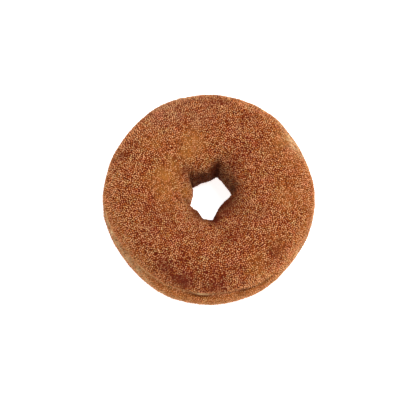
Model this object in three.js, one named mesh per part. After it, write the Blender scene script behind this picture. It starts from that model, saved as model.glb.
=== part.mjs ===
// A ring doughnut: one ring of cake dough, dropped, fried and rested on its underside.
//
// Millimetres, +Z up. The origin is under the middle of the ring, on the surface it stands on.
// The ring is a lathe of one closed section, pressed out of round the way the dough set:
// lobes swelled into the centre hole and meet at folds, and a float line runs round the
// outer side where the upper and lower crusts met in the oil.
// Angles are in degrees round the ring, counterclockwise from +X.

import * as THREE from "three";

// Driving dimensions.
const OUTER_DIAMETER = 85.5; // across the crust, before the float line draws it in
const HEIGHT = 30; // from the rested underside to the crown
const CROWN_RADIUS = 26.2; // from the ring's middle to the highest line of the crown
const REST_FLAT = 0.9; // how much the underside was pressed flat by the dough's own weight
const OUTER_SQUARENESS = 2.35; // exponent of the section's outer half, 2 is a plain ellipse
const INNER_SQUARENESS = 2.5; // the same for the half that faces the hole

// The float line round the outer side.
const WAIST_DEPTH = 0.7; // the broad dip between the two crusts
const WAIST_HALF_WIDTH = 3.5;
const CREASE_DEPTH = 0.5; // the sharp line at the bottom of the dip
const CREASE_HALF_WIDTH = 0.9;
const CREASE_RISE = 0.3; // above mid-height, where the line runs level
const CREASE_CLIMBS = [[275, 39, 2.9]]; // where it climbs: [angle, half length, added height]
const UPPER_STEP = 0.3; // how far the upper crust stands in from the lower one
const WIDER_STEPS = [[238, 55, 1.2]]; // where it stands further in: [angle, half length, added depth]
const STEP_SOFTNESS = 0.5;

// The centre hole at its narrowest: [angle, distance from the ring's middle, and for a fold
// how much further it cuts into the wall].
const FOLDS = [[13, 9.8, 0.7], [73, 10.9, 0.6], [138, 8.6, 1.2], [206, 8.7, 0.6], [278, 10.4, 0.5]];
const LOBES = [[42, 9.8], [105, 8.6], [172, 6.9], [222, 7.7], [312, 6.4]];
const FOLD_HALF_LENGTH = 6;

// Each is [angle, half length, size].
const HOLLOWS = [[232, 12, 0.7], [258, 12, 1.7], [62, 8, 0.5], [345, 12, 0.3]]; // in the hole's wall
const OVERHANGS = [[106, 26, 1.2]]; // where the dough hangs over the hole
const SHARP_LIPS = [[105, 32, 1], [35, 28, 0.8]]; // where the inner half is squarer
const FLATS = [[222, 24, 0.7], [32, 12, 0.3], [285, 7, 0.4], [320, 14, 0.3]]; // pressed into the outer side

// How far out of round the outer side is: [waves round the ring, height of a wave, start].
const OUTER_WAVES = [[2, 0.45, 90], [4, 0.25, 0], [6, 0.18, 0]];

// Facets.
const SECTION_STEPS = 44;
const RING_STEPS = 84;
const WAIST_CROWDING = 0.6; // 0 spaces the section's points evenly, near 1 crowds them at the waist

const FULL_TURN = 2 * Math.PI;
const SECTION_HALF_HEIGHT = (HEIGHT + REST_FLAT) / 2;
const LOWEST = REST_FLAT - SECTION_HALF_HEIGHT;

const signedPower = (value, power) => Math.sign(value) * Math.abs(value) ** power;
const bump = (distance, halfWidth) => Math.exp(-((distance / halfWidth) ** 2));
const turnGap = (degrees, middle) => ((degrees - middle + 540) % 360) - 180;

function sumOfBumps(degrees, bumps) {
  const heights = bumps.map(([at, halfLength, size]) => size * bump(turnGap(degrees, at), halfLength));
  return heights.reduce((sum, height) => sum + height, 0);
}

// The narrowest hole's radius: sharp at each fold and round over each lobe.
function holeRadius(degrees) {
  const marks = [
    ...FOLDS.map(([at, reach]) => ({ at, reach, fold: true })),
    ...LOBES.map(([at, reach]) => ({ at, reach, fold: false })),
  ].sort((a, b) => a.at - b.at);
  const after = marks.findIndex((mark) => mark.at > degrees);
  const next = marks[after < 0 ? 0 : after];
  const last = marks[(after <= 0 ? marks.length : after) - 1];
  const share = ((degrees - last.at + 360) % 360) / ((next.at - last.at + 360) % 360);
  const [fold, lobe] = last.fold ? [last, next] : [next, last];
  const fromFold = last.fold ? share : 1 - share;
  const swell = Math.sin((fromFold * Math.PI) / 2);
  return fold.reach + (lobe.reach - fold.reach) * swell + sumOfBumps(degrees, HOLLOWS);
}

// How far the folds between the lobes cut into the wall, from the crown to the narrowest line.
function foldDepth(degrees, inward) {
  const cuts = FOLDS.map(([at, , cut]) => [at, FOLD_HALF_LENGTH, cut]);
  return sumOfBumps(degrees, cuts) * THREE.MathUtils.clamp(1.3 * inward - 0.35, 0, 1) ** 1.5;
}

function outerRadius(degrees) {
  const waves = OUTER_WAVES.map(
    ([count, height, start]) => height * Math.cos(THREE.MathUtils.degToRad(count * (degrees - start))),
  );
  return OUTER_DIAMETER / 2 + waves.reduce((sum, wave) => sum + wave, 0) - sumOfBumps(degrees, FLATS);
}

// How far the two crusts and the line between them stand in at a height above mid-section.
function floatLineDepth(degrees, rise) {
  const above = rise - CREASE_RISE - sumOfBumps(degrees, CREASE_CLIMBS);
  const step = UPPER_STEP + sumOfBumps(degrees, WIDER_STEPS);
  return WAIST_DEPTH * bump(above, WAIST_HALF_WIDTH)
    + CREASE_DEPTH * bump(above, CREASE_HALF_WIDTH)
    + step / (1 + Math.exp(-above / STEP_SOFTNESS));
}

// Where one point of the dough set: its angle round the ring and its turn over the section,
// which starts at the outer side and runs over the crown.
function setDough(degrees, turn) {
  const outside = Math.cos(turn) > 0;
  const squareness = outside ? OUTER_SQUARENESS : INNER_SQUARENESS + sumOfBumps(degrees, SHARP_LIPS);
  const share = Math.abs(Math.cos(turn)) ** (2 / squareness);
  const rise = SECTION_HALF_HEIGHT * signedPower(Math.sin(turn), 2 / squareness);
  const height = Math.max(rise, LOWEST) - LOWEST;
  if (outside) {
    const drawnIn = Math.min(1, 2 * share) * floatLineDepth(degrees, rise);
    return [CROWN_RADIUS + (outerRadius(degrees) - CROWN_RADIUS) * share - drawnIn, height];
  }
  const reach = (CROWN_RADIUS - holeRadius(degrees)) * share;
  const overhang = sumOfBumps(degrees, OVERHANGS) * share * Math.sin(turn);
  return [CROWN_RADIUS - reach + foldDepth(degrees, share) - overhang, height];
}

function sectionTurns() {
  return Array.from({ length: SECTION_STEPS }, (_, step) => {
    const even = (step / SECTION_STEPS) * FULL_TURN;
    return even - (WAIST_CROWDING / 2) * Math.sin(2 * even);
  });
}

function doughGeometry() {
  const turns = sectionTurns();
  const section = [...turns, turns[0]].map((turn) => new THREE.Vector2(...setDough(0, turn)));
  const geometry = new THREE.LatheGeometry(section, RING_STEPS);
  geometry.rotateX(Math.PI / 2);
  const position = geometry.attributes.position;
  for (let i = 0; i < position.count; i += 1) {
    const angle = Math.atan2(position.getY(i), position.getX(i));
    const degrees = (THREE.MathUtils.radToDeg(angle) + 360) % 360;
    const turn = turns[(i % section.length) % SECTION_STEPS];
    const [radius, height] = setDough(degrees, turn);
    position.setXYZ(i, radius * Math.cos(angle), radius * Math.sin(angle), height);
  }
  geometry.computeBoundingBox();
  const middle = geometry.boundingBox.getCenter(new THREE.Vector3());
  geometry.translate(-middle.x, -middle.y, 0);
  geometry.computeVertexNormals();
  return geometry;
}

const sugaredCrust = new THREE.MeshStandardMaterial({
  name: "sugared_crust",
  color: new THREE.Color("#9e5b36"),
  roughness: 0.85,
  metalness: 0,
});

const doughRing = new THREE.Mesh(doughGeometry(), sugaredCrust);
doughRing.name = "dough_ring";

const doughnut = new THREE.Group();
doughnut.name = "ring_doughnut";
doughnut.add(doughRing);

export default doughnut;
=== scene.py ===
"""A ring doughnut of fried cake dough, rolled in cinnamon and sugar, on a pale light table.

The dough is one closed ring, swept from one section and pressed out of round as it set. Its
coating is loose grains, scattered over the crust. Everything is in metres, +Z up, with the
origin on the table under the middle of the ring.
"""

import math

import bpy
import numpy as np
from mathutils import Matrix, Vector, noise


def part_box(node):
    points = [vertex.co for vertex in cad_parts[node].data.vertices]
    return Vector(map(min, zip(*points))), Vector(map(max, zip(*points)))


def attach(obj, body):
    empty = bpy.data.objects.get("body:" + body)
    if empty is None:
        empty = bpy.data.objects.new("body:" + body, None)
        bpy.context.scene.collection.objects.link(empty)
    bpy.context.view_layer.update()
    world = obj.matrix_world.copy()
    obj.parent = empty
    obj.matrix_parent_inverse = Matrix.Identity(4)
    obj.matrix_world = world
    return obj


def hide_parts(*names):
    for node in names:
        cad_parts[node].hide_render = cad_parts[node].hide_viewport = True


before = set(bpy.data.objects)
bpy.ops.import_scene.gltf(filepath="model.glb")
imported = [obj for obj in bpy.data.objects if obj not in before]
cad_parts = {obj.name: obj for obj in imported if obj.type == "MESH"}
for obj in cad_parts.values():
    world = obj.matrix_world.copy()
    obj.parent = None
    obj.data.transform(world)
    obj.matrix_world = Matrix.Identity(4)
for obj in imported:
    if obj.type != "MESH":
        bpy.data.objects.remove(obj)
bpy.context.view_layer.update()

bl_info = {
    "name": "Cinnamon Sugar Ring Doughnut",
    "version": (1, 0, 0),
    "blender": (4, 5, 0),
    "location": "3D View > Sidebar > Doughnut",
    "description": "Models a ring doughnut with a sugared crust on a light table",
    "category": "Object",
}

MM = 0.001
FULL_TURN = 2 * math.pi
NODE = "dough_ring"
BODY = "root"

RING_LOW, RING_HIGH = (Vector(corner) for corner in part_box(NODE))
RING_SIZE = RING_HIGH - RING_LOW

# The float line draws the crust in, so the plain ring starts this much wider than it ends.
DRAWN_IN = 1.13 * MM

# The float line runs highest in one direction, in degrees, and the upper crust stands
# furthest in from the lower one in another.
HIGHEST_LINE = 275
WIDEST_STEP = 238

# The float line's height above mid-section in mm: its level course, how much higher it
# climbs, and how it wanders (waves round the ring, height in mm, start in radians).
LINE_COURSE = 0.3
LINE_CLIMB = 2.9
LINE_WANDERS = ((2, 0.15, 0.6), (5, 0.12, 0.0))

# How far the upper crust stands in from the lower one where it does least, and how softly
# the one passes into the other.
LEAST_STEP = 0.3 * MM
STEP_SOFTNESS = 0.25 * MM

# How far above the float line the upper crust's lip, the pale line and the dark of a crack
# lie, and how far below it the bottom of the groove lies.
LIP_ABOVE = 0.7 * MM
PALE_LINE_ABOVE = 0.8 * MM
CRACK_ABOVE = 0.2 * MM
GROOVE_BELOW = 0.2 * MM

# Exponents of the section's two halves, where 2 is a plain ellipse.
OUTER_SQUARENESS = 2.35
INNER_SQUARENESS = 2.5

# How much the section's points crowd towards the float line.
WAIST_CROWDING = 0.28

# How softly the rested underside turns up at its edge, and how far above it the lumps and
# crumbs of the crust reach their full height.
UNDERSIDE_ROUNDING = 0.5 * MM
LUMPS_FULL = 2 * MM

# Where the coating was rubbed thin on the underside: up to this height, and how softly it ends.
RUBBED_TOP = 1.2 * MM
RUBBED_FADE = 0.9 * MM

# How ragged the wall of the hole is, beside its lumps and crumbs.
RAG_HEIGHT = 0.4 * MM

# The centre hole at its narrowest: (angle in degrees, distance from the ring's middle in mm).
# Lobes of dough swelled into it and meet at folds, which cut further back into the wall by
# the third number.
FOLDS = ((13, 9.8, 0.7), (73, 10.9, 0.6), (138, 8.6, 1.2), (206, 8.7, 0.6), (278, 10.4, 0.5))
LOBES = ((42, 9.8, 0), (105, 8.6, 0), (172, 6.9, 0), (222, 7.7, 0), (312, 6.4, 0))

# Where the wall of the hole stands back from that: (angle in degrees, half length in degrees,
# depth in mm).
HOLLOWS = (
    (213, 7, 0.3),
    (228, 7, 1.1),
    (258, 12, 1.8),
    (272, 7, 0.5),
    (62, 8, 0.5),
    (345, 12, 0.3),
    (288, 6, -0.3),
)

# Where the dough hangs over the hole: (angle in degrees, half length in degrees, reach in mm).
OVERHANGS = ((106, 26, 1.2),)

# How much more sharply than elsewhere the crust turns down into the hole: (angle in degrees,
# half length in degrees, added exponent).
SHARP_LIPS = ((105, 32, 1.0), (35, 28, 0.8))

# How far out of round the crust is: (waves round the ring, height in mm, start in degrees).
OUTER_WAVES = ((2, 0.45, 90), (4, 0.25, 0), (6, 0.18, 0))

# Flats pressed into the outer side: (angle in degrees, half length in degrees, depth in mm).
FLATS = ((222, 24, 0.7), (32, 12, 0.3), (285, 7, 0.4), (320, 14, 0.3))

# Where the float line opened into a crack: (angle in degrees, half length in degrees, depth in mm).
# The same rows set how strongly painted shade darkens each crack.
CRACKS = ((266, 6, 1.5), (291, 4, 2.2), (304, 8, 0.6), (20, 20, 0.4), (95, 25, 0.5), (160, 16, 0.4))

# How high a lip the upper crust ends in, in mm, and where it is higher: (angle in degrees,
# half length in degrees, height in mm).
USUAL_LIP = 0.15
LIPS = ((267, 8, 0.7), (232, 16, 0.2), (300, 14, 0.2), (120, 30, 0.3))

# How strongly painted shade darkens the wall of the hole, and where it differs: (angle in degrees,
# half length in degrees, strength).
USUAL_HOLE_SHADE = 0.4
HOLE_SHADES = ((108, 30, 0.5), (320, 50, 0.65), (283, 10, 0.4), (245, 25, 0.45), (180, 22, -0.4))

# How far above mid-section the painted shade starts, in mm: the same, with a height in mm.
USUAL_SHADE_EDGE = 9
SHADE_EDGES = (
    (108, 35, -2.5),
    (121, 9, 1.6),
    (45, 20, 3.0),
    (320, 45, 3.5),
    (283, 10, 1.0),
    (245, 25, 2.0),
)

# The heights above mid-section that the painted shade of the folds starts at and that all the hole's
# painted shade ends at.
FOLD_SHADE_TOP = 10 * MM
SHADE_BOTTOM = -11 * MM

# How strongly painted shade darkens the creases of the folds: (angle in degrees, half length in degrees,
# strength).
FOLD_SHADES = ((73, 6, 0.6), (81, 6, 0.4), (138, 12, 0.15), (8, 8, 0.3), (278, 8, 0.4))

# How golden the side is along the float line, and how pale where the oil never reached it; the pale band
# is partly a painted sheen along the outer edge.
USUAL_GOLDEN_SIDE = 0.4
USUAL_PALE_SIDE = 0.8
GOLDEN_SIDES = ((270, 50, 0.4), (5, 30, 0.2), (338, 25, -0.3))
PALE_SIDES = ((204, 16, 0.25), (258, 20, 0.25), (32, 14, 0.2), (345, 15, -0.4), (75, 20, -0.15))

# The golden band's height above mid-section in mm, and how much lower it runs where the float
# line is highest.
GOLDEN_COURSE = 3
GOLDEN_DROP = 6

# How pale the float line itself is.
USUAL_PALE_LINE = 0.3
PALE_LINES = ((232, 9, 0.7), (247, 7, 0.3), (266, 5, 0.7), (292, 8, 0.2), (120, 60, 0.3))

# How mottled the pale band is: the middle of its strength, and how far that swings.
MOTTLE_MIDDLE = 0.85
MOTTLE_SWING = 1.6

# The pale band's lowest course above mid-section in mm, and how far above it the band
# wanders: the same, with a height in mm. It is partly a painted sheen, laid along the side's outer edge
# as the camera sees it.
PALE_COURSE = -6.5
PALE_RISES = (
    (208, 30, 4.0),
    (226, 9, 2.5),
    (335, 25, 2.4),
    (0, 20, 5.0),
    (30, 20, 13.0),
    (62, 16, 5.0),
    (100, 45, 13.0),
    (165, 25, 7.0),
)

# Patches on the upper crust: (angle in degrees, distance from the ring's middle in mm,
# half width in mm, strength).
BARE_PATCHES = (
    (110, 20.0, 6.0, 0.6),
    (125, 16.0, 4.0, 0.7),
    (150, 16.0, 4.0, 0.6),
    (172, 14.0, 5.0, 0.5),
    (33, 38.5, 4.5, 0.6),
    (167, 17.0, 4.5, 0.8),
    (17, 35.0, 5.0, 0.3),
    (188, 17.0, 5.5, 0.5),
    (140, 28.0, 4.0, 0.4),
    (185, 9.0, 3.0, 0.8),
    (33, 34.0, 4.5, 0.5),
    (352, 32.0, 7.0, 0.35),
    (318, 36.0, 4.0, 0.3),
    (337, 41.0, 6.0, 0.3),
    (301, 38.0, 4.5, 0.4),
)
# The dark patches are partly crust that fried darker and partly painted shade: the rows close to the
# hole paint the shade at its rim and in its folds.
DARK_PATCHES = (
    (243, 37.0, 5.0, 0.6),
    (255, 39.4, 4.5, 0.9),
    (263, 36.0, 5.0, 0.3),
    (273, 39.5, 6.5, 0.55),
    (288, 42.0, 2.5, 0.6),
    (300, 42.0, 2.0, 0.5),
    (159, 37.0, 3.5, 0.6),
    (81, 37.0, 3.0, 0.6),
    (59, 34.0, 3.0, 0.25),
    (288, 36.4, 3.0, 0.35),
    (238, 39.5, 3.0, 0.3),
    (143, 12.0, 3.0, 0.45),
    (223, 34.7, 5.0, 0.2),
    (295, 22.6, 4.0, 0.25),
    (315, 37.0, 3.5, 0.5),
    (308, 38.8, 2.5, 0.3),
    (88, 37.5, 6.0, 0.35),
    (106, 40.0, 6.0, 0.3),
    (126, 40.5, 6.0, 0.35),
    (342, 42.3, 6.0, 0.3),
    (270, 40.5, 8.0, 0.3),
    (45, 15.0, 4.5, 0.35),
    (347, 11.4, 3.0, 0.3),
    (303, 11.8, 3.0, 0.5),
    (283, 13.8, 2.6, 0.9),
    (215, 25.0, 6.0, 0.25),
)
CLUMPED_PATCHES = (
    (118, 37.0, 8.0, 0.7),
    (112, 32.0, 3.4, 1.0),
    (101, 27.5, 3.0, 0.9),
    (93, 29.0, 4.0, 0.6),
    (124, 33.0, 3.0, 0.5),
    (222, 30.0, 3.0, 0.4),
    (330, 25.0, 3.0, 0.4),
    (65, 27.0, 2.6, 0.4),
)


# How ragged the edges of the patches are, as a share of their width.
PATCH_RAGGEDNESS = 0.7

# How much of the coating is gone where each mark of the crust is strongest, and the least
# that is left.
COATING_LOSSES = {
    "bare": 0.35,
    "dark": 0.45,
    "float_line": 0.7,
    "pale_side": 0.3,
    "crack": 0.8,
    "underside": 0.4,
}
THINNEST_COATING = 0.05

# Each grain's own shade, from the darkest to the palest of its kind.
GRAIN_SHADES = (0.6, 0.9)
DUST_SHADES = (-0.2, 0.4)

# So dense that only the least distance between grains holds them apart, per square metre.
DENSEST = 2e7

# Where the large soft lamp hangs, how wide it is, and how far below the ring's middle the
# camera aims.
KEY_PLACE = (0.3, 0.03, 0.9)
KEY_WIDTH = 0.35
AIM_BELOW = 2.2 * MM


class RingProperties(bpy.types.PropertyGroup):
    """The dough ring's sizes."""

    outer_diameter: bpy.props.FloatProperty(
        name="Outer Diameter",
        description="Across the ring, before the float line draws it in",
        default=RING_SIZE.x + DRAWN_IN,
        unit="LENGTH",
    )
    height: bpy.props.FloatProperty(
        name="Height",
        description="From the rested underside to the crown",
        default=RING_SIZE.z,
        unit="LENGTH",
    )
    crown_radius: bpy.props.FloatProperty(
        name="Crown Radius",
        description="From the middle of the ring to its highest line",
        default=26.2 * MM,
        unit="LENGTH",
    )
    rest_flat: bpy.props.FloatProperty(
        name="Rest Flat",
        description="How much the underside is pressed flat",
        default=0.9 * MM,
        unit="LENGTH",
    )
    upper_step: bpy.props.FloatProperty(
        name="Upper Step",
        description="How far the upper crust stands in from the lower one, where it does most",
        default=1.5 * MM,
        unit="LENGTH",
    )
    waist_depth: bpy.props.FloatProperty(
        name="Waist Depth",
        description="Depth of the broad dip between the upper and the lower crust",
        default=0.7 * MM,
        unit="LENGTH",
    )
    crease_depth: bpy.props.FloatProperty(
        name="Crease Depth",
        description="Depth of the sharp float line, away from its cracks",
        default=0.15 * MM,
        unit="LENGTH",
    )
    coat_depth: bpy.props.FloatProperty(
        name="Coat Depth",
        description="Thickness of the coating, which the crust leaves room for",
        default=0.22 * MM,
        unit="LENGTH",
    )
    lump_height: bpy.props.FloatProperty(
        name="Lump Height",
        description="How far the crust swells and dips over a centimetre or so",
        default=0.35 * MM,
        unit="LENGTH",
    )
    crumb_height: bpy.props.FloatProperty(
        name="Crumb Height",
        description="How rough the crust is from millimetre to millimetre",
        default=0.09 * MM,
        unit="LENGTH",
    )
    ring_steps: bpy.props.IntProperty(
        name="Ring Steps", description="Faces round the ring", default=560, min=16
    )
    section_steps: bpy.props.IntProperty(
        name="Section Steps", description="Faces round the section", default=168, min=12
    )


class ColourProperties(bpy.types.PropertyGroup):
    """The colours of the crust and its coating, with the painted shade and sheen laid on them."""

    crust: bpy.props.FloatVectorProperty(
        name="Crust",
        description="Fried crust under its cinnamon",
        subtype="COLOR",
        default=(0.19, 0.022, 0.001),
    )
    bare_dough: bpy.props.FloatVectorProperty(
        name="Bare Dough",
        description="Golden dough where the coating is thin",
        subtype="COLOR",
        default=(0.52, 0.21, 0.045),
    )
    # Also painted shade: the same dark is laid on the dark patches by the hole.
    dark_crust_and_shade: bpy.props.FloatVectorProperty(
        name="Dark Crust",
        description="Where the crust fried darkest or the cinnamon lies thick",
        subtype="COLOR",
        default=(0.14, 0.019, 0.009),
    )
    # Partly the real pale band, partly a painted sheen along the outer edge.
    pale_side: bpy.props.FloatVectorProperty(
        name="Pale Side",
        description="The side that the oil never reached",
        subtype="COLOR",
        default=(0.80, 0.56, 0.30),
    )
    dull_sugar: bpy.props.FloatVectorProperty(
        name="Dull Sugar",
        description="Sugar that drew damp and clumped",
        subtype="COLOR",
        default=(0.42, 0.20, 0.11),
    )
    warm_cast: bpy.props.FloatVectorProperty(
        name="Warm Cast",
        description="What multiplies the colours where they turn golden",
        default=(1.0, 1.2, 1.12),
    )
    red_cast: bpy.props.FloatVectorProperty(
        name="Red Cast",
        description="What multiplies the colours where they turn red",
        default=(0.98, 0.80, 0.86),
    )
    float_line: bpy.props.FloatVectorProperty(
        name="Float Line",
        description="The pale line that stayed out of the oil",
        subtype="COLOR",
        default=(0.66, 0.42, 0.20),
    )
    # Painted shade: the dark laid on the wall of the hole, in its folds and in the cracks of the float
    # line, where little light reaches.
    hole_and_crack_shade: bpy.props.FloatVectorProperty(
        name="Hole Wall",
        description="The damp, dark wall of the hole, and the cracks in the float line",
        subtype="COLOR",
        default=(0.098, 0.014, 0.005),
    )
    dark_grain: bpy.props.FloatVectorProperty(
        name="Dark Grain",
        description="Grains that hold the most cinnamon",
        subtype="COLOR",
        default=(0.09, 0.006, 0.001),
    )
    brown_grain: bpy.props.FloatVectorProperty(
        name="Brown Grain",
        description="Grains with an even coat of cinnamon",
        subtype="COLOR",
        default=(0.51, 0.128, 0.022),
    )
    pale_grain: bpy.props.FloatVectorProperty(
        name="Pale Grain",
        description="Sugar crystals that the cinnamon hardly stained",
        subtype="COLOR",
        default=(0.87, 0.435, 0.205),
    )


class CoatProperties(bpy.types.PropertyGroup):
    """The grains of cinnamon and sugar."""

    grain_size: bpy.props.FloatProperty(
        name="Grain Size",
        description="Mean width of a sugar grain",
        default=0.4 * MM,
        unit="LENGTH",
    )
    grain_spacing: bpy.props.FloatProperty(
        name="Grain Spacing",
        description="Least distance between two sugar grains",
        default=0.68 * MM,
        unit="LENGTH",
    )
    grain_pieces: bpy.props.IntProperty(
        name="Grain Pieces", description="Pieces that the sugar grains are shared over", default=2, min=1
    )
    dust_size: bpy.props.FloatProperty(
        name="Dust Size",
        description="Mean width of a speck of fine sugar and cinnamon",
        default=0.24 * MM,
        unit="LENGTH",
    )
    dust_spacing: bpy.props.FloatProperty(
        name="Dust Spacing",
        description="Least distance between two specks",
        default=0.31 * MM,
        unit="LENGTH",
    )
    dust_pieces: bpy.props.IntProperty(
        name="Dust Pieces", description="Pieces that the specks are shared over", default=5, min=1
    )
    size_spread: bpy.props.FloatProperty(
        name="Size Spread",
        description="How much grains differ from their mean width, as a share of it",
        default=0.4,
        min=0,
        max=0.9,
        subtype="FACTOR",
    )
    sink: bpy.props.FloatProperty(
        name="Sink",
        description="How much of a grain is buried in the crust, as a share of its width",
        default=0.3,
        subtype="FACTOR",
    )
    seed: bpy.props.IntProperty(
        name="Seed", description="Changes where the grains fall", default=11
    )


class StageProperties(bpy.types.PropertyGroup):
    """The table, the lights and the camera."""

    table_size: bpy.props.FloatProperty(
        name="Table Size", description="Width of the table", default=3, unit="LENGTH"
    )
    table_glow: bpy.props.FloatProperty(
        name="Table Glow",
        description="Light that comes up through the table",
        default=0.85,
    )
    room_light: bpy.props.FloatProperty(
        name="Room Light", description="Soft light from all round", default=0.7
    )
    key_power: bpy.props.FloatProperty(
        name="Key Power", description="Power of the large soft lamp", default=5.8, unit="POWER"
    )
    elevation: bpy.props.FloatProperty(
        name="Elevation",
        description="Height of the camera above the horizon",
        default=math.radians(70),
        subtype="ANGLE",
    )
    distance: bpy.props.FloatProperty(
        name="Distance",
        description="From the camera to the doughnut",
        default=0.75,
        unit="LENGTH",
    )
    frame_width: bpy.props.FloatProperty(
        name="Frame Width",
        description="What the picture takes in, at the doughnut",
        default=160 * MM,
        unit="LENGTH",
    )
    aside: bpy.props.FloatProperty(
        name="Aside",
        description="How far the camera aims to the left of the ring's middle",
        default=3.45 * MM,
        unit="LENGTH",
    )


# Shape of the dough


def signed_power(values, power):
    return np.sign(values) * np.abs(values) ** power


def bump(distance, half_width):
    return np.exp(-((distance / half_width) ** 2))


def turn_gap(degrees, middle):
    """Degrees between two directions, the short way round."""
    return (degrees - middle + 180) % 360 - 180


def hole_radius(degrees):
    """The narrowest hole's radius: sharp at each fold and round over each lobe."""
    marks = sorted(FOLDS + LOBES)
    radius = np.zeros_like(degrees)
    for last, following in zip(marks, marks[1:] + marks[:1], strict=True):
        span = (following[0] - last[0]) % 360
        share = ((degrees - last[0]) % 360) / span
        here = share < 1
        fold, lobe = (last, following) if last in FOLDS else (following, last)
        from_fold = share if last in FOLDS else 1 - share
        swell = np.sin(np.clip(from_fold, 0, 1) * math.pi / 2)
        radius[here] = (fold[1] + (lobe[1] - fold[1]) * swell)[here]
    return (radius + sum_of_bumps(degrees, HOLLOWS)) * MM


def outer_radius(ring, degrees):
    radius = np.full_like(degrees, ring.outer_diameter / 2)
    for count, height, start in OUTER_WAVES:
        radius += height * MM * np.cos(np.radians(count * (degrees - start)))
    return radius - sum_of_bumps(degrees, FLATS) * MM


def fold_depth(degrees, inward):
    """How far the creases between the lobes cut back into the wall of the hole."""
    depth = np.zeros_like(degrees * inward)
    for angle, _reach, cut in FOLDS:
        depth += cut * MM * bump(turn_gap(degrees, angle), half_width=6)
    # A fold starts about a quarter of the way from the crown to the narrowest line.
    return depth * np.clip(inward * 1.3 - 0.35, 0, 1) ** 1.5


def sum_of_bumps(degrees, bumps):
    """The total height of bumps given as (angle, half length in degrees, height)."""
    return sum(height * bump(turn_gap(degrees, middle), half) for middle, half, height in bumps)


def crease_rise(degrees):
    """The float line's height above mid-section: it wanders as the ring floated."""
    around = np.radians(degrees)
    height = LINE_COURSE + LINE_CLIMB * bump(turn_gap(degrees, HIGHEST_LINE), half_width=39)
    for count, swing, start in LINE_WANDERS:
        height = height + swing * np.sin(count * around + start)
    return height * MM


def float_line_depth(ring, degrees, rise):
    """How far the two crusts and the line between them stand in from the plain outer side."""
    above = rise - crease_rise(degrees)
    upper = 1 / (1 + np.exp(-above / STEP_SOFTNESS))
    widest = bump(turn_gap(degrees, WIDEST_STEP), half_width=55)
    step = LEAST_STEP + (ring.upper_step - LEAST_STEP) * widest
    lip = (USUAL_LIP + sum_of_bumps(degrees, LIPS)) * MM
    lip = lip * bump(above - LIP_ABOVE, half_width=0.6 * MM)
    crack = sum_of_bumps(degrees, CRACKS) * MM
    groove = (ring.crease_depth + crack) * bump(above + GROOVE_BELOW, half_width=0.45 * MM)
    return ring.waist_depth * bump(above, half_width=3.5 * MM) + step * upper - lip + groove


def smooth_max(values, floor, rounding):
    """The larger of the two, with the corner between them rounded."""
    gap = values - floor
    return floor + (gap + np.sqrt(gap**2 + rounding**2)) / 2


def ring_places(ring):
    """Every point of the smooth ring, and how far over the section it lies, in degrees."""
    degrees = (np.arange(ring.ring_steps) / ring.ring_steps * 360)[:, None]
    even = (np.arange(ring.section_steps) / ring.section_steps * FULL_TURN)[None, :]
    turn = even - WAIST_CROWDING * np.sin(2 * even)
    outward = np.cos(turn)
    outside = outward > 0
    inner_squareness = INNER_SQUARENESS + sum_of_bumps(degrees, SHARP_LIPS)
    power = 2 / np.where(outside, OUTER_SQUARENESS, inner_squareness)
    share = signed_power(outward, power)
    half_height = (ring.height + ring.rest_flat) / 2
    rise = half_height * signed_power(np.sin(turn), power)
    crown = ring.crown_radius
    outer = crown + (outer_radius(ring, degrees) - crown) * share
    outer = outer - np.clip(2 * share, 0, 1) * float_line_depth(ring, degrees, rise)
    inner = crown - (crown - hole_radius(degrees)) * -share + fold_depth(degrees, -share)
    inner = inner + sum_of_bumps(degrees, OVERHANGS) * MM * share * np.sin(turn)
    radius = np.where(outside, outer, inner)
    lowest = ring.rest_flat - half_height
    height = smooth_max(rise, lowest, UNDERSIDE_ROUNDING) - lowest
    around = np.radians(degrees)
    places = np.stack(
        [radius * np.cos(around), radius * np.sin(around), height * np.ones_like(radius)], -1
    )
    middle = (places.max((0, 1)) + places.min((0, 1))) / 2
    places[..., :2] -= middle[:2]
    return places, degrees * np.ones_like(turn), np.degrees(turn) * np.ones_like(degrees)


def outward_normals(places):
    along = np.roll(places, -1, 0) - np.roll(places, 1, 0)
    over = np.roll(places, -1, 1) - np.roll(places, 1, 1)
    normals = np.cross(along, over)
    return normals / np.linalg.norm(normals, axis=-1, keepdims=True)


def noise_at(places, pitch, shift=0.0):
    """Smooth noise with lumps about one pitch across, at each place."""
    moved = Vector((shift, shift * 0.37, -shift))
    return np.array([noise.noise(Vector(place) / pitch + moved) for place in places])


def add_relief(ring, places, over):
    """Moves the smooth ring's points out and in, and returns them as one list."""
    normals = outward_normals(places).reshape(-1, 3)
    flat = places.reshape(-1, 3)
    in_hole = bump(turn_gap(over.reshape(-1), 180), half_width=62)
    lumps = noise_at(flat, 9 * MM, shift=3.1) + 0.5 * noise_at(flat, 4 * MM, shift=8.7)
    crumbs = noise_at(flat, 1.3 * MM, shift=1.9) + 0.6 * noise_at(flat, 0.7 * MM, shift=5.3)
    rags = noise_at(flat, 2.6 * MM, shift=14.2)
    relief = ring.lump_height * lumps * (1 + 0.5 * in_hole)
    relief += ring.crumb_height * crumbs * (1 + 1.6 * in_hole)
    relief += RAG_HEIGHT * rags * in_hole
    relief -= ring.coat_depth
    # The rested underside stays level.
    share = np.clip(flat[:, 2] / LUMPS_FULL, 0, 1)
    relief = relief * share - ring.coat_depth * (1 - share)
    return flat + normals * relief[:, None]


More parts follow.
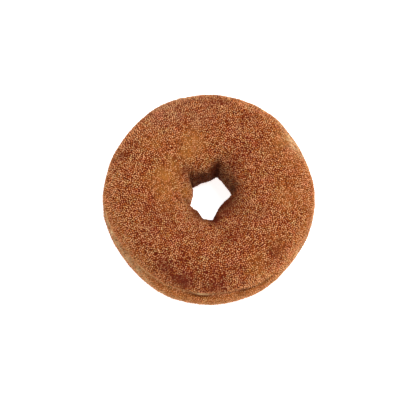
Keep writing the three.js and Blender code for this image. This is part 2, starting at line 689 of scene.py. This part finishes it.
def patch_strength(patches, places):
    """How strongly each point lies in any of these patches, from 0 to 1, with ragged edges."""
    flat = places.reshape(-1, 3)
    ragged = 1 + PATCH_RAGGEDNESS * noise_at(flat, 3.5 * MM, shift=21.0)
    rows = places.shape[0]
    strength = np.zeros(len(flat))
    for angle, reach, half_width, full in patches:
        section = places[round(angle / 360 * rows) % rows]
        upper = section[:, 2] > RING_SIZE.z / 2
        gaps = np.abs(np.hypot(section[:, 0], section[:, 1]) - reach * MM)
        middle = section[np.argmin(np.where(upper, gaps, np.inf))]
        gap = np.linalg.norm(flat - middle, axis=1)
        strength = np.maximum(strength, full * bump(gap * ragged, half_width * MM))
    return strength


def step_down(heights, edge, softness):
    """1 well below an edge and 0 well above it."""
    return 1 / (1 + np.exp((heights - edge) / softness))


def hole_shade(degrees, over, rise):
    """How strongly painted shade darkens the wall of the hole and its folds at each point, from 0 to 1.
    """
    edge = (USUAL_SHADE_EDGE + sum_of_bumps(degrees, SHADE_EDGES)) * MM
    wall = USUAL_HOLE_SHADE + sum_of_bumps(degrees, HOLE_SHADES)
    wall = wall * step_down(rise, edge, softness=1.2 * MM)
    folds = sum_of_bumps(degrees, FOLD_SHADES) * step_down(rise, FOLD_SHADE_TOP, softness=0.8 * MM)
    above_underside = 1 - step_down(rise, SHADE_BOTTOM, softness=1.5 * MM)
    inside = np.cos(np.radians(over)) < 0
    return np.clip(wall + folds, 0, 1) * above_underside * inside


def closed_grid(rows, columns):
    """The four-sided faces of a grid that closes on itself both ways."""
    row, column = np.meshgrid(np.arange(rows), np.arange(columns), indexing="ij")
    next_row, next_column = (row + 1) % rows, (column + 1) % columns
    corners = ((row, column), (next_row, column), (next_row, next_column), (row, next_column))
    return np.stack([r * columns + c for r, c in corners], -1).reshape(-1, 4)


def add_attribute(mesh, name, values):
    attribute = mesh.attributes.new(name, "FLOAT", "POINT")
    attribute.data.foreach_set("value", values.astype(np.float32))


def side_marks(places, degrees, rise):
    """How strong each mark along the outer side is, at each point; the cracks' mark is painted shade and
    the pale side's is partly a painted sheen.
    """
    above = rise - crease_rise(degrees)
    line = np.clip(USUAL_PALE_LINE + sum_of_bumps(degrees, PALE_LINES), 0, 1)
    crack = np.clip(sum_of_bumps(degrees, CRACKS), 0, 1)
    drop = GOLDEN_DROP * bump(turn_gap(degrees, HIGHEST_LINE), half_width=45)
    golden = USUAL_GOLDEN_SIDE + sum_of_bumps(degrees, GOLDEN_SIDES)
    course = (PALE_COURSE + sum_of_bumps(degrees, PALE_RISES)) * MM
    pale = USUAL_PALE_SIDE + sum_of_bumps(degrees, PALE_SIDES)
    pale = pale * bump(rise - course, half_width=3.2 * MM)
    mottle = MOTTLE_MIDDLE + MOTTLE_SWING * noise_at(places.reshape(-1, 3), 1.5 * MM, shift=33.0)
    return {
        "float_line": line * bump(above - PALE_LINE_ABOVE, half_width=0.5 * MM),
        # Painted shade in the cracks.
        "crack": crack * bump(above - CRACK_ABOVE, half_width=0.45 * MM),
        "golden_side": golden * bump(rise - (GOLDEN_COURSE - drop) * MM, half_width=6 * MM),
        "pale_side": np.clip(pale * mottle.reshape(pale.shape), 0, 1),
    }


def dough_mesh(ring):
    places, degrees, over = ring_places(ring)
    points = add_relief(ring, places, over)
    faces = closed_grid(ring.ring_steps, ring.section_steps)
    mesh = bpy.data.meshes.new("dough_ring_crust")
    mesh.from_pydata(points.tolist(), [], faces.tolist())
    mesh.shade_smooth()
    rise = places[..., 2] - ring.height / 2
    add_attribute(mesh, "bare", patch_strength(BARE_PATCHES, places))
    add_attribute(mesh, "dark", patch_strength(DARK_PATCHES, places))
    add_attribute(mesh, "clumped", patch_strength(CLUMPED_PATCHES, places))
    outside = np.cos(np.radians(over)) > 0
    for name, strength in side_marks(places, degrees, rise).items():
        add_attribute(mesh, name, (strength * outside).reshape(-1))
    # Painted shade on the wall of the hole and in its folds.
    add_attribute(mesh, "in_hole", hole_shade(degrees, over, rise).reshape(-1))
    rubbed = np.clip((RUBBED_TOP - places[..., 2]) / RUBBED_FADE, 0, 1)
    add_attribute(mesh, "underside", rubbed.reshape(-1))
    add_crust_map(mesh, ring)
    return mesh


def add_crust_map(mesh, ring):
    """Unrolls the ring onto the unit square, once round it and once over its section."""
    rows, columns = ring.ring_steps, ring.section_steps
    row, column = np.meshgrid(np.arange(rows), np.arange(columns), indexing="ij")
    steps = ((0, 0), (1, 0), (1, 1), (0, 1))
    corners = [np.stack([(row + r) / rows, (column + c) / columns], -1) for r, c in steps]
    layer = mesh.uv_layers.new(name="OFBake")
    layer.uv.foreach_set("vector", np.stack(corners, 2).astype(np.float32).ravel())


# Materials


def new_material(name):
    material = bpy.data.materials.new(name)
    material.use_nodes = True
    tree = material.node_tree
    return material, tree, tree.nodes["Principled BSDF"]


def add_node(tree, kind, **settings):
    node = tree.nodes.new(kind)
    for name, value in settings.items():
        setattr(node, name, value)
    return node


def attribute(tree, name):
    return add_node(tree, "ShaderNodeAttribute", attribute_name=name).outputs["Fac"]


def arithmetic(tree, operation, first, second):
    """A Math node. Each side is a socket or a number."""
    node = add_node(tree, "ShaderNodeMath", operation=operation)
    for socket, value in zip(node.inputs, (first, second), strict=False):
        if isinstance(value, (int, float)):
            socket.default_value = value
        else:
            tree.links.new(value, socket)
    return node.outputs[0]


def blend(tree, share, first, second, blend_type="MIX"):
    """Mixes two colours, each a socket or three numbers, by a socket or a number."""
    node = add_node(tree, "ShaderNodeMix", data_type="RGBA", blend_type=blend_type)
    for socket, value in ((node.inputs[0], share), (node.inputs[6], first), (node.inputs[7], second)):
        if isinstance(value, bpy.types.NodeSocket):
            tree.links.new(value, socket)
        elif socket == node.inputs[0]:
            socket.default_value = value
        else:
            socket.default_value = (*value, 1)
    return node.outputs[2]


def object_noise(tree, pitch, detail=2.0, roughness=0.5):
    place = add_node(tree, "ShaderNodeTexCoord").outputs["Object"]
    node = add_node(tree, "ShaderNodeTexNoise")
    node.inputs["Scale"].default_value = 1 / pitch
    node.inputs["Detail"].default_value = detail
    node.inputs["Roughness"].default_value = roughness
    tree.links.new(place, node.inputs["Vector"])
    return node.outputs["Fac"]


def sharpened(tree, value, low, high):
    """Stretches a value so that low becomes 0 and high becomes 1."""
    node = add_node(tree, "ShaderNodeMapRange", interpolation_type="SMOOTHSTEP")
    node.inputs["From Min"].default_value = low
    node.inputs["From Max"].default_value = high
    tree.links.new(value, node.inputs["Value"])
    return node.outputs["Result"]


def broken(tree):
    """Runs between 0.5 and 1 along a line, so that it breaks up."""
    return arithmetic(tree, "MAXIMUM", sharpened(tree, object_noise(tree, 4 * MM), 0.4, 0.6), 0.5)


def clumping(tree, pitch):
    """Bright in the middle of each clump of grains and dark between the clumps, from 1 to 0."""
    place = add_node(tree, "ShaderNodeTexCoord").outputs["Object"]
    node = add_node(tree, "ShaderNodeTexVoronoi")
    node.inputs["Scale"].default_value = 1 / pitch
    tree.links.new(place, node.inputs["Vector"])
    return arithmetic(tree, "SUBTRACT", 1.0, sharpened(tree, node.outputs["Distance"], 0.15, 0.85))


def weighted_sum(tree, *terms):
    """Adds values, each a socket with its weight."""
    total = arithmetic(tree, "MULTIPLY", *terms[0])
    for value, weight in terms[1:]:
        total = arithmetic(tree, "ADD", total, arithmetic(tree, "MULTIPLY", value, weight))
    return total


def tinted(tree, colour, colours):
    """Turns a colour towards gold in some patches and towards red in others."""
    warm = sharpened(tree, object_noise(tree, 3.2 * MM), 0.45, 0.72)
    colour = blend(tree, warm, colour, colours.warm_cast, "MULTIPLY")
    red = sharpened(tree, object_noise(tree, 4.2 * MM), 0.45, 0.72)
    return blend(tree, red, colour, colours.red_cast, "MULTIPLY")


def laid_over(tree, colour, *marks):
    """Lays each mark's colour over the last: (attribute, its weight as a socket or number, colour)."""
    for name, weight, mark_colour in marks:
        share = arithmetic(tree, "MULTIPLY", attribute(tree, name), weight)
        colour = blend(tree, share, colour, mark_colour)
    return colour


def crust_material(colours):
    """Fried crust: browned in patches, stained by cinnamon, pale along the float line, with painted
    shade in the hole, its folds and its cracks and a painted sheen on the pale side.
    """
    material, tree, shader = new_material("fried_crust")
    shade = clumping(tree, 0.9 * MM)
    colour = blend(tree, shade, colours.dark_crust_and_shade, colours.crust)
    colour = laid_over(
        tree,
        tinted(tree, colour, colours),
        ("bare", 0.85, colours.bare_dough),
        # Partly painted shade, where the dark patches lie by the hole.
        ("dark", 1, colours.dark_crust_and_shade),
        ("golden_side", 0.8, colours.bare_dough),
        # Partly a painted sheen along the outer edge.
        ("pale_side", 0.9, colours.pale_side),
        ("float_line", broken(tree), colours.float_line),
        # Painted shade: the cracks and the wall of the hole.
        ("crack", 1, colours.hole_and_crack_shade),
        ("in_hole", 0.95, colours.hole_and_crack_shade),
    )
    tree.links.new(colour, shader.inputs["Base Color"])
    shader.inputs["Roughness"].default_value = 0.8
    shader.inputs["Specular IOR Level"].default_value = 0.03
    relief = add_node(tree, "ShaderNodeBump")
    relief.inputs["Strength"].default_value = 0.6
    relief.inputs["Distance"].default_value = 0.12 * MM
    tree.links.new(object_noise(tree, 0.45 * MM), relief.inputs["Height"])
    tree.links.new(relief.outputs["Normal"], shader.inputs["Normal"])
    return material


def grain_material(colours):
    """Sugar grains stained by cinnamon, from dark to pale, with painted shade in the hole and the cracks
    and a painted sheen on the pale side.
    """
    material, tree, shader = new_material("cinnamon_sugar")
    mottle = object_noise(tree, 3.5 * MM, detail=3, roughness=0.6)
    shade = weighted_sum(
        tree,
        (attribute(tree, "shade"), 0.78),
        (clumping(tree, 0.9 * MM), 0.2),
        (mottle, 0.18),
        (attribute(tree, "clumped"), 0.08),
    )
    colour = blend(tree, sharpened(tree, shade, 0.15, 0.6), colours.dark_grain, colours.brown_grain)
    colour = blend(tree, sharpened(tree, shade, 0.55, 0.95), colour, colours.pale_grain)
    colour = laid_over(
        tree,
        tinted(tree, colour, colours),
        # Partly painted shade, where the dark patches lie by the hole.
        ("dark", 1, colours.dark_crust_and_shade),
        ("bare", 0.5, colours.bare_dough),
        ("golden_side", 0.45, colours.bare_dough),
        # Partly a painted sheen along the outer edge.
        ("pale_side", 0.42, colours.pale_side),
        ("float_line", 0.6, colours.float_line),
        # Painted shade: the cracks and the wall of the hole.
        ("crack", 1, colours.hole_and_crack_shade),
        ("clumped", 0.45, colours.dull_sugar),
        ("in_hole", 0.94, colours.hole_and_crack_shade),
    )
    tree.links.new(colour, shader.inputs["Base Color"])
    shader.inputs["Roughness"].default_value = 0.5
    shader.inputs["Specular IOR Level"].default_value = 0.02
    return material


# Scattering of the grains


def tree_input(tree, name, kind, value=None):
    socket = tree.interface.new_socket(name, in_out="INPUT", socket_type=kind)
    if value is not None:
        socket.default_value = value
    return socket.identifier


def scatter_tree():
    """Grains laid over a surface, each a small block turned at random."""
    tree = bpy.data.node_groups.new("scattered_grains", "GeometryNodeTree")
    tree.interface.new_socket("Grains", in_out="OUTPUT", socket_type="NodeSocketGeometry")
    names = {
        "Surface": tree_input(tree, "Surface", "NodeSocketGeometry"),
        "Spacing": tree_input(tree, "Spacing", "NodeSocketFloat", 0.5 * MM),
        "Pieces": tree_input(tree, "Pieces", "NodeSocketInt", 1),
        "Piece": tree_input(tree, "Piece", "NodeSocketInt", 0),
        "Grain Size": tree_input(tree, "Grain Size", "NodeSocketFloat", 0.5 * MM),
        "Size Spread": tree_input(tree, "Size Spread", "NodeSocketFloat", 0.4),
        "Lift": tree_input(tree, "Lift", "NodeSocketFloat", 0.1 * MM),
        "Seed": tree_input(tree, "Seed", "NodeSocketInt", 0),
        "Darkest": tree_input(tree, "Darkest", "NodeSocketFloat", 0.0),
        "Palest": tree_input(tree, "Palest", "NodeSocketFloat", 1.0),
        "Material": tree_input(tree, "Material", "NodeSocketMaterial"),
    }
    given = add_node(tree, "NodeGroupInput").outputs

    def link(source, node, name):
        tree.links.new(source, node.inputs[name])

    coating = add_node(tree, "GeometryNodeInputNamedAttribute", data_type="FLOAT")
    coating.inputs["Name"].default_value = "coating"
    fall = add_node(tree, "GeometryNodeDistributePointsOnFaces", distribute_method="POISSON")
    fall.inputs["Density Max"].default_value = DENSEST
    link(given["Surface"], fall, "Mesh")
    link(given["Spacing"], fall, "Distance Min")
    link(coating.outputs["Attribute"], fall, "Density Factor")
    link(given["Seed"], fall, "Seed")

    # Every so many grains go to the same piece.
    dealt = add_node(tree, "FunctionNodeIntegerMath", operation="MODULO")
    tree.links.new(add_node(tree, "GeometryNodeInputIndex").outputs["Index"], dealt.inputs[0])
    tree.links.new(given["Pieces"], dealt.inputs[1])
    other = add_node(tree, "FunctionNodeCompare", data_type="INT", operation="NOT_EQUAL")
    tree.links.new(dealt.outputs[0], other.inputs[2])
    tree.links.new(given["Piece"], other.inputs[3])
    kept = add_node(tree, "GeometryNodeDeleteGeometry", domain="POINT")
    link(fall.outputs["Points"], kept, "Geometry")
    link(other.outputs["Result"], kept, "Selection")

    lift = add_node(tree, "ShaderNodeVectorMath", operation="SCALE")
    tree.links.new(fall.outputs["Normal"], lift.inputs[0])
    link(given["Lift"], lift, "Scale")
    raised = add_node(tree, "GeometryNodeSetPosition")
    link(kept.outputs["Geometry"], raised, "Geometry")
    link(lift.outputs["Vector"], raised, "Offset")

    block = add_node(tree, "GeometryNodeMeshCube")
    edges = add_node(tree, "ShaderNodeCombineXYZ")
    for axis in "XYZ":
        link(given["Grain Size"], edges, axis)
    link(edges.outputs[0], block, "Size")

    turn = add_node(tree, "FunctionNodeRandomValue", data_type="FLOAT_VECTOR")
    turn.inputs["Max"].default_value = (FULL_TURN,) * 3
    link(given["Seed"], turn, "Seed")
    width = add_node(tree, "FunctionNodeRandomValue", data_type="FLOAT_VECTOR")
    link(arithmetic(tree, "SUBTRACT", 1, given["Size Spread"]), width, "Min")
    link(arithmetic(tree, "ADD", 1, given["Size Spread"]), width, "Max")
    link(given["Seed"], width, "Seed")

    grains = add_node(tree, "GeometryNodeInstanceOnPoints")
    link(raised.outputs["Geometry"], grains, "Points")
    link(block.outputs["Mesh"], grains, "Instance")
    tree.links.new(turn.outputs["Value"], grains.inputs["Rotation"])
    tree.links.new(width.outputs["Value"], grains.inputs["Scale"])

    shade = add_node(tree, "FunctionNodeRandomValue", data_type="FLOAT")
    tree.links.new(given["Darkest"], shade.inputs[2])
    tree.links.new(given["Palest"], shade.inputs[3])
    link(given["Seed"], shade, "Seed")
    stored = add_node(
        tree, "GeometryNodeStoreNamedAttribute", data_type="FLOAT", domain="INSTANCE"
    )
    stored.inputs["Name"].default_value = "shade"
    link(grains.outputs["Instances"], stored, "Geometry")
    tree.links.new(shade.outputs[1], stored.inputs["Value"])

    real = add_node(tree, "GeometryNodeRealizeInstances")
    link(stored.outputs["Geometry"], real, "Geometry")
    finish = add_node(tree, "GeometryNodeSetMaterial")
    link(real.outputs["Geometry"], finish, "Geometry")
    link(given["Material"], finish, "Material")
    result = add_node(tree, "NodeGroupOutput")
    link(finish.outputs["Geometry"], result, "Grains")
    return tree, names


def add_grain_map(mesh, faces_per_grain=6, margin=0.2):
    """Gives every grain a cell of its own on the unit square, so that it can hold its own colour."""
    count = len(mesh.polygons) // faces_per_grain
    side = math.ceil(math.sqrt(count))
    grain = np.repeat(np.arange(count), faces_per_grain * 4)
    corner = np.tile(np.arange(4), count * faces_per_grain)
    across = margin + (1 - 2 * margin) * np.isin(corner, (1, 2))
    up = margin + (1 - 2 * margin) * (corner > 1)
    cells = np.stack([grain % side + across, grain // side + up], -1) / side
    layer = mesh.uv_layers.new(name="OFBake")
    layer.uv.foreach_set("vector", cells.astype(np.float32).ravel())


def scatter(surface, tree, names, name, values):
    """Runs the scattering on a copy of the surface and returns the plain piece."""
    carrier = bpy.data.objects.new(name + "_carrier", surface.data.copy())
    bpy.context.scene.collection.objects.link(carrier)
    modifier = carrier.modifiers.new("grains", "NODES")
    modifier.node_group = tree
    for label, value in values.items():
        modifier[names[label]] = value
    evaluated = carrier.evaluated_get(bpy.context.evaluated_depsgraph_get())
    mesh = bpy.data.meshes.new_from_object(evaluated)
    carrier.modifiers.remove(modifier)
    bpy.data.objects.remove(carrier)
    mesh.name = name
    places = np.empty(len(mesh.vertices) * 3, np.float32)
    mesh.vertices.foreach_get("co", places)
    places[2::3] = np.maximum(places[2::3], 0)
    mesh.vertices.foreach_set("co", places)
    for layer in list(mesh.uv_layers):
        mesh.uv_layers.remove(layer)
    add_grain_map(mesh)
    piece = bpy.data.objects.new(name, mesh)
    bpy.context.scene.collection.objects.link(piece)
    return piece


def link_to_frame(piece):
    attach(piece, BODY)


class DOUGHNUT_OT_dough_ring(bpy.types.Operator):
    """Makes the fried ring of dough, which stands for the plain solid of the frame"""

    bl_idname = "doughnut.dough_ring"
    bl_label = "Dough Ring"

    def execute(self, context):
        scene = context.scene
        mesh = dough_mesh(scene.doughnut_ring)
        mesh.materials.append(crust_material(scene.doughnut_colours))
        piece = bpy.data.objects.new("dough_ring_crust", mesh)
        scene.collection.objects.link(piece)
        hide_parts(NODE)
        link_to_frame(piece)
        return {"FINISHED"}


class DOUGHNUT_OT_sugar_coat(bpy.types.Operator):
    """Scatters grains of cinnamon and sugar over the crust"""

    bl_idname = "doughnut.sugar_coat"
    bl_label = "Sugar Coat"

    def execute(self, context):
        scene = context.scene
        crust = scene.objects.get("dough_ring_crust")
        if crust is None:
            raise RuntimeError("make the dough ring before its coat")
        coat = scene.doughnut_coat
        add_coating(crust.data)
        tree, names = scatter_tree()
        material = grain_material(scene.doughnut_colours)
        kinds = (
            ("sugar_grains", coat.grain_size, coat.grain_spacing, coat.grain_pieces, GRAIN_SHADES),
            ("cinnamon_sugar_dust", coat.dust_size, coat.dust_spacing, coat.dust_pieces, DUST_SHADES),
        )
        for kind, size, spacing, pieces, (darkest, palest) in kinds:
            for piece in range(pieces):
                values = {
                    "Spacing": spacing,
                    "Pieces": pieces,
                    "Piece": piece,
                    "Grain Size": size,
                    "Size Spread": coat.size_spread,
                    "Lift": size * (0.5 - coat.sink),
                    "Seed": coat.seed,
                    "Darkest": darkest,
                    "Palest": palest,
                    "Material": material,
                }
                link_to_frame(scatter(crust, tree, names, f"{kind}_{piece + 1}", values))
        return {"FINISHED"}


def add_coating(mesh):
    """Stores how thick the coating lies at each point, from 0 to 1."""
    coating = np.ones(len(mesh.vertices), np.float32)
    for name, loss in COATING_LOSSES.items():
        strength = np.empty_like(coating)
        mesh.attributes[name].data.foreach_get("value", strength)
        coating = coating - loss * strength
    add_attribute(mesh, "coating", np.clip(coating, THINNEST_COATING, 1))


class DOUGHNUT_OT_stage(bpy.types.Operator):
    """Lays the light table and sets the lights and the camera"""

    bl_idname = "doughnut.stage"
    bl_label = "Stage"

    def execute(self, context):
        scene = context.scene
        stage = scene.doughnut_stage
        lay_table(scene, stage)
        light_room(scene, stage)
        place_camera(scene, stage)
        return {"FINISHED"}


def lay_table(scene, stage):
    half = stage.table_size / 2
    mesh = bpy.data.meshes.new("table")
    corners = [(-half, -half, 0), (half, -half, 0), (half, half, 0), (-half, half, 0)]
    mesh.from_pydata(corners, [], [(0, 1, 2, 3)])
    material, _tree, shader = new_material("light_table")
    shader.inputs["Base Color"].default_value = (0.9, 0.9, 0.9, 1)
    shader.inputs["Roughness"].default_value = 0.9
    shader.inputs["Emission Color"].default_value = (1, 1, 1, 1)
    shader.inputs["Emission Strength"].default_value = stage.table_glow
    mesh.materials.append(material)
    table = bpy.data.objects.new("table", mesh)
    scene.collection.objects.link(table)


def light_room(scene, stage):
    world = bpy.data.worlds.new("room")
    world.use_nodes = True
    background = world.node_tree.nodes["Background"]
    background.inputs["Color"].default_value = (1, 1, 1, 1)
    background.inputs["Strength"].default_value = stage.room_light
    scene.world = world
    key = bpy.data.lights.new("key_lamp", "AREA")
    key.shape = "DISK"
    key.size = KEY_WIDTH
    key.energy = stage.key_power
    lamp = bpy.data.objects.new("key_lamp", key)
    lamp.location = KEY_PLACE
    lamp.rotation_mode = "QUATERNION"
    lamp.rotation_quaternion = lamp.location.to_track_quat("Z", "Y")
    scene.collection.objects.link(lamp)


def place_camera(scene, stage):
    """Looks along +Y and down at the ring, which fills about half of a square picture."""
    camera = bpy.data.cameras.new("camera")
    camera.sensor_width = 36
    camera.lens = camera.sensor_width * stage.distance / stage.frame_width
    camera.clip_start = 0.01
    holder = bpy.data.objects.new("camera", camera)
    back = Vector((0, -math.cos(stage.elevation), math.sin(stage.elevation)))
    target = Vector((-stage.aside, 0, RING_SIZE.z / 2 - AIM_BELOW))
    holder.location = target + back * stage.distance
    holder.rotation_mode = "QUATERNION"
    holder.rotation_quaternion = back.to_track_quat("Z", "Y")
    scene.collection.objects.link(holder)
    scene.camera = holder
    scene.view_settings.view_transform = "Standard"


class DOUGHNUT_PT_panel(bpy.types.Panel):
    """Lists the doughnut's pieces and their sizes"""

    bl_idname = "DOUGHNUT_PT_panel"
    bl_label = "Ring Doughnut"
    bl_space_type = "VIEW_3D"
    bl_region_type = "UI"
    bl_category = "Doughnut"

    def draw(self, context):
        for operator in OPERATORS:
            self.layout.operator(operator.bl_idname)
        for group, label in GROUPS.values():
            box = self.layout.box()
            box.label(text=label)
            settings = getattr(context.scene, group_name(group))
            for name in group.__annotations__:
                box.prop(settings, name)


GROUPS = {
    "ring": (RingProperties, "Dough ring"),
    "colours": (ColourProperties, "Colours"),
    "coat": (CoatProperties, "Sugar coat"),
    "stage": (StageProperties, "Stage"),
}
OPERATORS = (DOUGHNUT_OT_dough_ring, DOUGHNUT_OT_sugar_coat, DOUGHNUT_OT_stage)


def group_name(group):
    """The scene's property that holds a group's settings."""
    return next("doughnut_" + key for key, (kind, _label) in GROUPS.items() if kind is group)


def register():
    for group, _label in GROUPS.values():
        bpy.utils.register_class(group)
        setattr(bpy.types.Scene, group_name(group), bpy.props.PointerProperty(type=group))
    for kind in (*OPERATORS, DOUGHNUT_PT_panel):
        bpy.utils.register_class(kind)


def unregister():
    for kind in (DOUGHNUT_PT_panel, *reversed(OPERATORS)):
        bpy.utils.unregister_class(kind)
    for group, _label in reversed(GROUPS.values()):
        delattr(bpy.types.Scene, group_name(group))
        bpy.utils.unregister_class(group)


def main():
    register()
    bpy.ops.doughnut.stage()
    bpy.ops.doughnut.dough_ring()
    bpy.ops.doughnut.sugar_coat()


if __name__ == "__main__":
    main()
